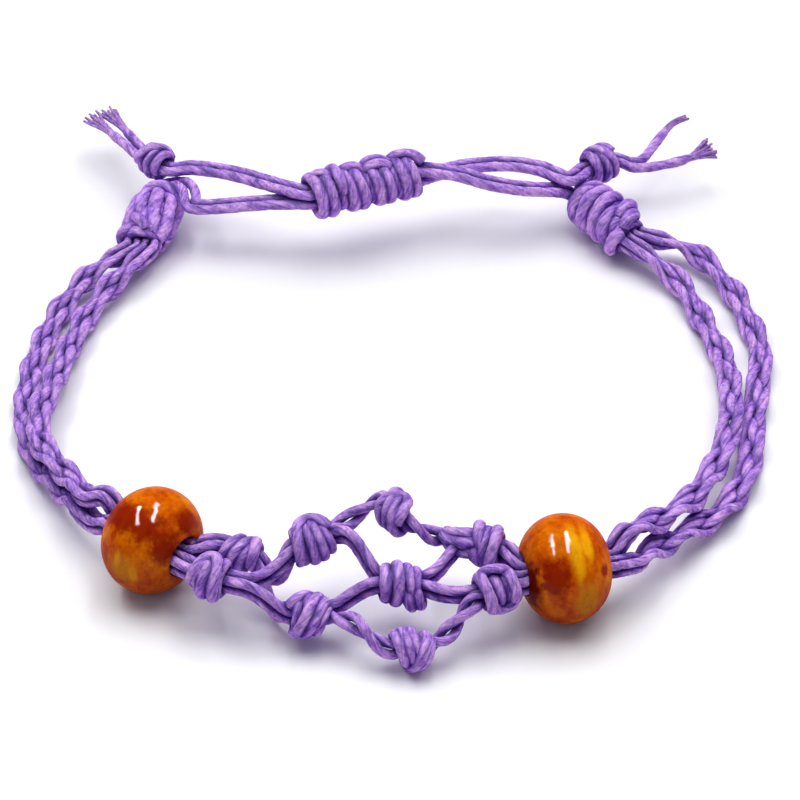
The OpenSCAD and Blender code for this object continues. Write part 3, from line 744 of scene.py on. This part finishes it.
# Drawcord pairs, keys: large knot that they leave
# Rows: from there to the bar, from the bar to the far end knot, and past that knot
# Columns: middle of the pair, half the distance between its two cords
DRAW_ROUTES = {
    "left": (((-25.4, 31, 2.9, 0.6), (-24.7, 31.8, 3.3, 0.6), (-23.6, 31.6, 3.9, 0.6),
              (-22.6, 30.3, 4.8, 0.6), (-21.9, 28.7, 5.2, 0.6), (-21.6, 27.1, 5.2, 0.6),
              (-21.3, 25.9, 5.1, 0.6), (-19, 25.5, 5.3, 0.55), (-16.5, 25.3, 5.7, 0.55),
              (-13, 25, 6.2, 0.55)),
             ((5.4, 30.7, 6.4, 0.55), (8.3, 31.2, 6.6, 0.55), (11.5, 31.5, 6.5, 0.55),
              (14.5, 31, 6.3, 0.55), (16.2, 30.1, 6.1, 0.55), (17.5, 29.7, 5.9, 0.55),
              (18.5, 31, 5.5, 0.55)),
             ((24.3, 34.2, 4.6, 0.55), (26, 34.7, 4.5, 0.9), (28.4, 36.5, 4.7, 2.1),
              (30.8, 38.9, 5, 2.9))),
    "right": (((17.3, 29.7, 4.2, 0.55), (15.2, 28.4, 5.4, 0.55), (12.4, 27.5, 6.2, 0.55),
               (9, 27.4, 7, 0.55), (6, 28.2, 7.5, 0.55)),
              ((-12.6, 26.4, 7.3, 0.55), (-17, 29.7, 6.5, 0.55), (-21.4, 32, 5.7, 0.55)),
              ((-28.3, 37.4, 5, 0.6), (-30.2, 40.6, 4.8, 0.8), (-32.2, 44, 4.5, 1))),
}


def bar_places(side):
    """Where a pair goes through the bar: the left pair below, the right pair above it and backwards."""
    mouth, straight = BAR_AXIS * BAR_MOUTH, BAR_AXIS * BAR_STRAIGHT
    lift = Vector((0.0, 0.0, PAIR_HALF))
    places = [BAR_FROM - mouth, BAR_FROM + straight, BAR_TO - straight, BAR_TO + mouth]
    if side == "left":
        return [place - lift for place in places]
    return [place + lift for place in reversed(places)]


def draw_rows(side):
    """A pair of drawcords, columns: middle of the pair, half the distance between its two cords."""
    knot, heading, half = BIG_KNOTS[side]
    out = aim(heading)
    end, end_heading = END_KNOTS["right" if side == "left" else "left"]
    straight = aim(end_heading) * END_STRAIGHT
    start = [Vector(knot) + out * (half - DRAW_START), Vector(knot) + out * half]
    end = [Vector(end) - straight, Vector(end) + straight]
    to_bar, to_end, tail = DRAW_ROUTES[side]
    rows = []
    for straight_places, route in ((start, to_bar), (bar_places(side), to_end), (end, tail)):
        rows += [(place, PAIR_HALF) for place in straight_places]
        rows += [(Vector(row[:3]), row[3]) for row in route]
    return rows


# Free ends, keys: large knot that the pair leaves and side of the pair
# Columns: length that has come apart, how far it spreads, its yarns, how much further they reach
FRAYS = {
    ("left", 1): (3.4, 0.1, 7, (1.9, 1.5, 0.2)),
    ("left", -1): (2.6, 1.3, 16, (0, 0, 0)),
    ("right", 1): (4.2, 0.9, 12, (0, 0, 0)),
    ("right", -1): (4.6, 0.9, 12, (0, 0, 0)),
}
YARN_RADIUS = 0.19
# A yarn starts this far inside the sound cord, this far from its middle
YARN_START = 0.5
YARN_OUT = 0.28
# The sound cord thins to this share over its last rings
SOUND_END = 0.75
SOUND_END_RINGS = 5.0


def draw_runs(side, sign):
    """A drawcord: a sound length, then yarns that fan out of its free end."""
    rows = draw_rows(side)
    points = []
    for i, (middle, half) in enumerate(rows):
        way = rows[min(len(rows) - 1, i + 1)][0] - rows[max(0, i - 1)][0]
        points.append(middle + side_of(way.normalized()) * sign * half)
    loose, spread, yarns, further = FRAYS[(side, sign)]
    if any(further):
        points.append(points[-1] + Vector(further))
    route = Route(points)
    sound = route.length - loose
    count = int(sound / RING_STEP)
    line, radii = [], []
    for i in range(count + 1):
        line.append(route.at(sound * i / count))
        full = smooth((count - i) / SOUND_END_RINGS)
        radii.append(DRAW_RADIUS * (SOUND_END + (1 - SOUND_END) * full))
    frayed = [yarn(route, loose, spread, k, yarns, sign) for k in range(yarns)]
    return [Run(line, radii, start=sign)] + frayed


def yarn(route, loose, spread, k, yarns, seed):
    """One yarn of a free end that has come apart."""
    points, radii = [], []
    out = math.sqrt((k + 0.5) / yarns)
    angle = k * 2.4 + seed
    short = 0.25 * abs(noise.noise(Vector((k * 3.1, seed * 2.3, 0.5)))) * loose
    begin = route.length - loose - YARN_START
    reach = loose + YARN_START - short
    count = int(reach / RING_STEP)
    for i in range(count + 1):
        f = i / count
        d = begin + reach * f
        far = out * (YARN_OUT + spread * f ** 1.6)
        drift = 0.2 * f * noise.noise(Vector((d * 0.5, k * 5.0, seed)))
        place = Vector((math.cos(angle) * far + drift, math.sin(angle) * far * 0.55))
        points.append(route.at(d) + across(route.way(d), place))
        radii.append(YARN_RADIUS * (1 - 0.3 * f))
    return Run(points, radii, lay=3.0, start=k)


# A bead's mesh: depth of the lip at each mouth, steps of its outline and steps round its hole
LIP = 0.25
ARC_STEPS = 40
TURN_STEPS = 96


def bead_outline():
    """The section of a bead, columns: distance from the hole's middle line, place along it."""
    ring = BEAD_RADIUS - BEAD_ROUND
    stop = math.asin((BEAD_HALF - 0.02) / BEAD_ROUND)
    outline = []
    for i in range(ARC_STEPS + 1):
        angle = stop * (2 * i / ARC_STEPS - 1)
        outline.append((ring + BEAD_ROUND * math.cos(angle), BEAD_ROUND * math.sin(angle)))
    return outline + [(BEAD_HOLE, BEAD_HALF - LIP), (BEAD_HOLE, 0.0), (BEAD_HOLE, LIP - BEAD_HALF)]


def make_bead(side):
    """A turned wooden bead: its section is spun round the hole."""
    name = side + "_wood_bead"
    middle, heading = BEADS[side]
    axis = aim(heading)
    out = side_of(axis)
    centre = (Vector(middle) + MIDDLE) * MM
    bm = bmesh.new()
    rim = [bm.verts.new(centre + (out * r + axis * h) * MM) for r, h in bead_outline()]
    edges = [bm.edges.new((a, b)) for a, b in zip(rim, rim[1:] + rim[:1])]
    bmesh.ops.spin(bm, geom=rim + edges, cent=centre, axis=axis, angle=TURN, steps=TURN_STEPS,
                   use_merge=True)
    bmesh.ops.remove_doubles(bm, verts=bm.verts, dist=1e-6)
    bmesh.ops.recalc_face_normals(bm, faces=bm.faces)
    for face in bm.faces:
        face.smooth = True
    mesh = bpy.data.meshes.new(name)
    bm.to_mesh(mesh)
    bm.free()
    add_piece(name, mesh, lacquered_wood(side + "_bead_wood", side), side + "_bead")


def colour(red, green, blue):
    return (red, green, blue, 1.0)


def grey(value):
    return colour(value, value, value)


WHITE = grey(1.0)


def feed(tree, made, inputs):
    """Links the named inputs of a node to other nodes' outputs, or sets their own values."""
    for name, value in inputs.items():
        if isinstance(value, bpy.types.NodeSocket):
            tree.links.new(value, made.inputs[name])
        else:
            made.inputs[name].default_value = value


def node(tree, kind, inputs=None, **settings):
    made = tree.nodes.new(kind)
    for name, value in settings.items():
        setattr(made, name, value)
    feed(tree, made, inputs or {})
    return made


def maths(tree, operation, first, second=0.0):
    return node(tree, "ShaderNodeMath", {0: first, 1: second}, operation=operation).outputs[0]


def blend(tree, mask, first, second, mode="MIX"):
    """A mix of two colours, by the sockets that are on for colours."""
    made = node(tree, "ShaderNodeMix", data_type="RGBA", blend_type=mode)
    places = {socket.name: i for i, socket in enumerate(made.inputs) if socket.enabled}
    feed(tree, made, {places["Factor"]: mask, places["A"]: first, places["B"]: second})
    return next(socket for socket in made.outputs if socket.enabled)


def ramp(tree, value, stops):
    made = node(tree, "ShaderNodeValToRGB", {0: value})
    elements = made.color_ramp.elements
    while len(elements) < len(stops):
        elements.new(0.5)
    for element, (place, shade) in zip(elements, stops):
        element.position = place
        element.color = shade
    return made.outputs[0]


def tint(tree, base, weight, value, stops):
    """A colour times a ramp of a value."""
    return blend(tree, weight, base, ramp(tree, value, stops), "MULTIPLY")


def noise_node(tree, vector, scale, detail, rough):
    inputs = {"Vector": vector, "Scale": scale, "Detail": detail, "Roughness": rough}
    return node(tree, "ShaderNodeTexNoise", inputs).outputs["Fac"]


def stretched_group():
    """Fine streaks drawn out along one direction, for fibres in cord and grain in wood."""
    tree = bpy.data.node_groups.new("drawn_out_streaks", "ShaderNodeTree")
    tree.interface.new_socket("Vector", in_out="INPUT", socket_type="NodeSocketVector")
    tree.interface.new_socket("Fineness", in_out="INPUT", socket_type="NodeSocketFloat")
    tree.interface.new_socket("Streaks", in_out="OUTPUT", socket_type="NodeSocketFloat")
    tree.interface.new_socket("Bands", in_out="OUTPUT", socket_type="NodeSocketFloat")
    vector, fineness = node(tree, "NodeGroupInput").outputs[:2]
    fine = noise_node(tree, vector, fineness, 4.0, 0.7)
    broad = noise_node(tree, vector, maths(tree, "MULTIPLY", fineness, 0.4), 2.0, 0.5)
    node(tree, "NodeGroupOutput", {"Streaks": fine, "Bands": broad})
    return tree


def add_streaks(tree, vector, fineness):
    made = node(tree, "ShaderNodeGroup", node_tree=streaks)
    feed(tree, made, {"Vector": vector, "Fineness": fineness})
    return made.outputs["Streaks"], made.outputs["Bands"]


def new_material(name):
    made = bpy.data.materials.new(name)
    made.use_nodes = True
    tree = made.node_tree
    return made, tree, tree.nodes["Principled BSDF"]


def add_bump(tree, shader, height, strength, distance):
    inputs = {"Height": height, "Strength": strength, "Distance": distance}
    bump = node(tree, "ShaderNodeBump", inputs).outputs["Normal"]
    feed(tree, shader, {"Normal": bump})
    return bump


# Worn patches and flecks of wax on the cords, per metre, and how far fibres are drawn out
PATCHES = 420.0
FLECKS = 1300.0
FIBRE_DRAW = 0.42


def cord_fibres(tree):
    """Fibres and bands that follow a cord's twist, and the grooves between its plies."""
    lay = node(tree, "ShaderNodeAttribute", attribute_name="lay")
    along, level, high = node(tree, "ShaderNodeSeparateXYZ", {0: lay.outputs["Vector"]}).outputs
    drawn_out = maths(tree, "MULTIPLY", along, FIBRE_DRAW)
    place = node(tree, "ShaderNodeCombineXYZ", {0: drawn_out, 1: level, 2: high})
    fine, broad = add_streaks(tree, place.outputs[0], 2.1)
    angle = maths(tree, "ARCTAN2", high, level)
    groove = maths(tree, "ABSOLUTE", maths(tree, "COSINE", maths(tree, "MULTIPLY", angle, PLIES / 2)))
    return fine, broad, groove


def waxed_cord(name, light, middle, deep):
    """Waxed cotton cord: fine fibres along a slow twist, painted shade in its ply grooves and where it faces
    other cords, a soft waxy sheen.
    """
    made, tree, shader = new_material(name)
    fine, broad, groove = cord_fibres(tree)
    painted_crevice_shade = node(tree, "ShaderNodeAttribute", attribute_name="painted_crevice_shade").outputs["Fac"]
    place = node(tree, "ShaderNodeTexCoord").outputs["Object"]
    patchy = noise_node(tree, place, PATCHES, 4.0, 0.7)
    cloudy = noise_node(tree, place, FLECKS, 4.0, 0.75)
    base = ramp(tree, fine, ((0.34, deep), (0.46, middle), (0.6, light)))
    base = blend(tree, 0.5, base, ramp(tree, broad, ((0.34, deep), (0.45, middle), (0.56, light))))
    # Painted shade in the grooves between the plies
    base = tint(tree, base, 0.6, groove, ((0.0, colour(0.55, 0.46, 0.7)), (0.45, WHITE)))
    base = tint(tree, base, 0.8, patchy, ((0.34, colour(0.58, 0.48, 0.72)),
                                          (0.6, colour(1.15, 1.15, 1.05))))
    base = tint(tree, base, 0.7, cloudy, ((0.38, colour(0.45, 0.34, 0.62)), (0.5, WHITE),
                                          (0.66, colour(1.25, 1.3, 1.1))))
    # Painted shade on the sides of a cord that face its neighbours, darkest where they crowd closest
    base = tint(tree, base, 1.0, painted_crevice_shade, ((0.08, WHITE), (0.45, colour(0.42, 0.28, 0.64)),
                                          (0.85, colour(0.11, 0.035, 0.26))))
    rough = ramp(tree, fine, ((0.3, grey(0.75)), (0.7, grey(0.5))))
    feed(tree, shader, {"Base Color": base, "Roughness": rough, "Specular IOR Level": 0.14,
                        "Sheen Weight": 0.08, "Sheen Roughness": 0.4, "Sheen Tint": colour(0.8, 0.65, 1.0)})
    height = maths(tree, "ADD", maths(tree, "MULTIPLY", fine, 0.9), maths(tree, "MULTIPLY", cloudy, 0.5))
    height = maths(tree, "ADD", height, maths(tree, "MULTIPLY", groove, 0.15))
    add_bump(tree, shader, height, 1.0, 0.0003)
    return made


# Wood under the areas, from its dark clouds to its light ones, and the stain of its grain and specks
WOOD = ((0.3, colour(0.42, 0.035, 0.0005)), (0.44, colour(0.64, 0.095, 0.001)),
        (0.58, colour(0.8, 0.18, 0.001)), (0.72, colour(0.9, 0.28, 0.002)))
STAIN = colour(0.7, 0.5, 0.4)
# Coloured areas of each bead, columns: colour, middle and reach in mm along the hole, to its left and up
RED = colour(0.16, 0.007, 0.0005)
BRIGHT_RED = colour(0.34, 0.02, 0.0005)
GOLD = colour(0.97, 0.42, 0.003)
AMBER = colour(0.82, 0.3, 0.003)
DULL_GOLD = colour(0.66, 0.22, 0.003)
BEAD_AREAS = {
    "left": ((DULL_GOLD, (0.6, -4.6, 0.3), (1.5, 1.8, 1.6)), (AMBER, (1.7, -4.6, 0), (0.5, 1, 1.1)),
             (AMBER, (0.1, -4.6, 0.9), (0.4, 1, 1.1)), (BRIGHT_RED, (3.2, -2, 1.8), (1.5, 2.2, 1.9)),
             (BRIGHT_RED, (-0.5, -2.5, 4), (5, 2.2, 1.6)), (BRIGHT_RED, (3.3, 1.4, 3.2), (1.3, 1.6, 1.4))),
    "right": ((GOLD, (0.2, -2.4, 3.6), (0.8, 3.2, 2.8)), (GOLD, (1.3, -1.8, 4), (0.6, 2.4, 1.2)),
              (DULL_GOLD, (0.8, -4.8, 0), (1.3, 1.6, 2.2)), (BRIGHT_RED, (-1.8, -3.4, 2.4), (1.9, 1.8, 1.8)),
              (BRIGHT_RED, (-2.4, -3.9, 1.6), (1.3, 1.1, 1)), (RED, (-3.9, -2.6, 0.6), (1, 3, 3.4)),
              (BRIGHT_RED, (2.7, -3.4, 2), (0.7, 0.8, 0.8))),
}


def bead_space(tree, side):
    """Places on a bead in mm from its middle: along the hole, to its left and up."""
    middle, heading = BEADS[side]
    place = node(tree, "ShaderNodeTexCoord")
    inputs = {"Vector": place.outputs["Object"], "Location": (Vector(middle) + MIDDLE) * MM,
              "Rotation": (0.0, 0.0, math.radians(heading)), "Scale": (MM, MM, MM)}
    return node(tree, "ShaderNodeMapping", inputs, vector_type="TEXTURE").outputs["Vector"]


def lacquered_wood(name, side):
    """Stained wood under gloss lacquer: mottled orange with red and golden areas, and painted shade that
    darkens it towards its foot.
    """
    made, tree, shader = new_material(name)
    place = bead_space(tree, side)
    grain = node(tree, "ShaderNodeVectorMath", {0: place, 1: (1.0, 0.3, 0.3)}, operation="MULTIPLY")
    fine, broad = add_streaks(tree, grain.outputs["Vector"], 2.2)
    cloudy = noise_node(tree, place, 0.42, 4.0, 0.65)
    specks = noise_node(tree, place, 1.5, 3.0, 0.6)
    base = ramp(tree, cloudy, WOOD)
    for shade, spot, reach in BEAD_AREAS[side]:
        base = blend(tree, area(tree, place, spot, reach, cloudy, specks), base, shade)
    base = tint(tree, base, 0.45, fine, ((0.34, STAIN), (0.54, WHITE)))
    base = tint(tree, base, 0.4, specks, ((0.36, STAIN), (0.46, WHITE)))
    # Painted shade: the bead darkens towards its foot, where it sits on the table
    high = node(tree, "ShaderNodeSeparateXYZ", {0: place}).outputs[2]
    painted_foot_shade = node(tree, "ShaderNodeMapRange", {"Value": high, "From Min": -4.0, "From Max": 2.5})
    base = tint(tree, base, 1.0, painted_foot_shade.outputs["Result"], ((0.0, colour(0.42, 0.3, 0.3)), (1.0, WHITE)))
    rough = ramp(tree, broad, ((0.3, grey(0.5)), (0.7, grey(0.34))))
    feed(tree, shader, {"Base Color": base, "Roughness": rough, "Specular IOR Level": 0.0,
                        "Coat Weight": 0.16, "Coat IOR": 1.45, "Coat Roughness": 0.045})
    height = maths(tree, "ADD", maths(tree, "MULTIPLY", specks, 0.8), maths(tree, "MULTIPLY", fine, 0.6))
    feed(tree, shader, {"Coat Normal": add_bump(tree, shader, height, 0.22, 0.0001)})
    return made


def area(tree, place, spot, reach, ragged, frayed):
    """A soft area about a spot, with a ragged edge."""
    away = node(tree, "ShaderNodeVectorMath", {0: place, 1: spot}, operation="SUBTRACT")
    near = node(tree, "ShaderNodeVectorMath", {0: away.outputs["Vector"], 1: reach}, operation="DIVIDE")
    far = node(tree, "ShaderNodeVectorMath", {0: near.outputs["Vector"]}, operation="LENGTH")
    rough = maths(tree, "ADD", maths(tree, "SUBTRACT", ragged, 0.5), maths(tree, "SUBTRACT", frayed, 0.5))
    edge = maths(tree, "ADD", far.outputs["Value"], maths(tree, "MULTIPLY", rough, 0.8))
    inputs = {"Value": edge, "From Min": 0.45, "From Max": 1.15, "To Min": 1.0, "To Max": 0.0}
    return node(tree, "ShaderNodeMapRange", inputs, interpolation_type="SMOOTHSTEP").outputs["Result"]


# Half the width of the table top, and how far it lies under the bracelet, in metres
TABLE_HALF = 1.5
TABLE_GAP = 0.00002


def make_table():
    bm = bmesh.new()
    bmesh.ops.create_grid(bm, x_segments=1, y_segments=1, size=TABLE_HALF)
    mesh = bpy.data.meshes.new("table_top")
    bm.to_mesh(mesh)
    bm.free()
    made, tree, shader = new_material("white_table")
    feed(tree, shader, {"Base Color": colour(0.8, 0.8, 0.81), "Roughness": 0.7})
    mesh.materials.append(made)
    table = bpy.data.objects.new("table_top", mesh)
    table.location.z = -TABLE_GAP
    bpy.context.scene.collection.objects.link(table)


# Lamps, columns: name, place and size in metres, power in watts, whether it only glints on the beads
# The others are broad and soft, and only light the surfaces
LAMPS = (
    ("left_tube", (-0.112, 0.0, 0.21), (0.022, 0.2), 2.6, True),
    ("right_tube", (0.024, 0.0, 0.21), (0.022, 0.2), 2.6, True),
    ("broad_overhead", (0.05, 0.36, 1.0), (1.6, 1.3), 17.5, False),
    ("front_fill", (-0.2, -0.9, 1.0), (1.4, 0.7), 0.9, False),
)


def add_light(name, place, size, power, glint):
    """A flat lamp that faces the middle of the table, with its second side running front to back."""
    data = bpy.data.lights.new(name, "AREA")
    data.shape = "RECTANGLE"
    data.size, data.size_y = size
    data.energy = power
    lamp = bpy.data.objects.new(name, data)
    lamp.visible_diffuse = not glint
    lamp.visible_glossy = glint
    back = Vector(place).normalized()
    right = Vector((0.0, 1.0, 0.0)).cross(back).normalized()
    turn = Matrix((right, back.cross(right), back)).transposed().to_4x4()
    lamp.matrix_world = Matrix.Translation(place) @ turn
    bpy.context.scene.collection.objects.link(lamp)


def make_room():
    """A dim bluish surround, and plain colours in the picture."""
    world = bpy.data.worlds.new("room")
    world.use_nodes = True
    surround = world.node_tree.nodes["Background"]
    feed(world.node_tree, surround, {"Color": colour(0.82, 0.85, 1.0), "Strength": 0.22})
    bpy.context.scene.world = world
    bpy.context.scene.view_settings.view_transform = "Standard"


# The camera looks down at this slant from this far away, in metres, through a long lens, in mm
CAMERA_SLANT = math.radians(38.0)
CAMERA_AWAY = 0.34
LENS = 156.3


def make_camera():
    data = bpy.data.cameras.new("camera")
    data.sensor_width = 36.0
    data.lens = LENS
    data.clip_start = 0.01
    camera = bpy.data.objects.new("camera", data)
    back = Vector((0.0, -math.cos(CAMERA_SLANT), math.sin(CAMERA_SLANT)))
    camera.location = MIDDLE * MM + back * CAMERA_AWAY
    camera.rotation_euler = (math.pi / 2 - CAMERA_SLANT, 0.0, 0.0)
    bpy.context.scene.collection.objects.link(camera)
    bpy.context.scene.camera = camera


def all_cords():
    """Every cord and knot, columns: solid that it replaces, ending of its own name, runs."""
    made = []
    for side in BEADS:
        for lane in ("outer", "inner"):
            for k in range(4):
                strand = plait_strand(side, lane, k)
                made.append((side + "_" + lane + "_plait_" + str(k + 1), "_cord", [strand]))
    for cord in range(1, 9):
        made.append(("net_strand_" + str(cord), "_cord", [net_run(cord)]))
    for number in NET_KNOTS:
        made.append(("net_knot_" + str(number), "_turns", net_knot_runs(number)))
    for side in BEADS:
        made.append((side + "_big_knot", "_turns", big_knot_runs(side)))
        made.append((side + "_end_knot", "_turns", end_knot_runs(side)))
        for k, sign in ((1, 1), (2, -1)):
            made.append((side + "_drawcord_" + str(k), "_cord", draw_runs(side, sign)))
    made.append(("sliding_bar", "_turns", bar_runs()))
    return made


make_camera()
make_room()
make_table()
for lamp_row in LAMPS:
    add_light(*lamp_row)

section = make_section()
streaks = stretched_group()
cord_look = waxed_cord("waxed_cord", colour(0.82, 0.47, 1.0), colour(0.46, 0.21, 0.9),
                       colour(0.12, 0.03, 0.38))
cords = all_cords()
crowd = Crowd([run for _, _, runs in cords for run in runs])
for solid, ending, runs in cords:
    cord_piece(solid + ending, runs, solid)
for side in BEADS:
    make_bead(side)

bpy.data.objects.remove(section)
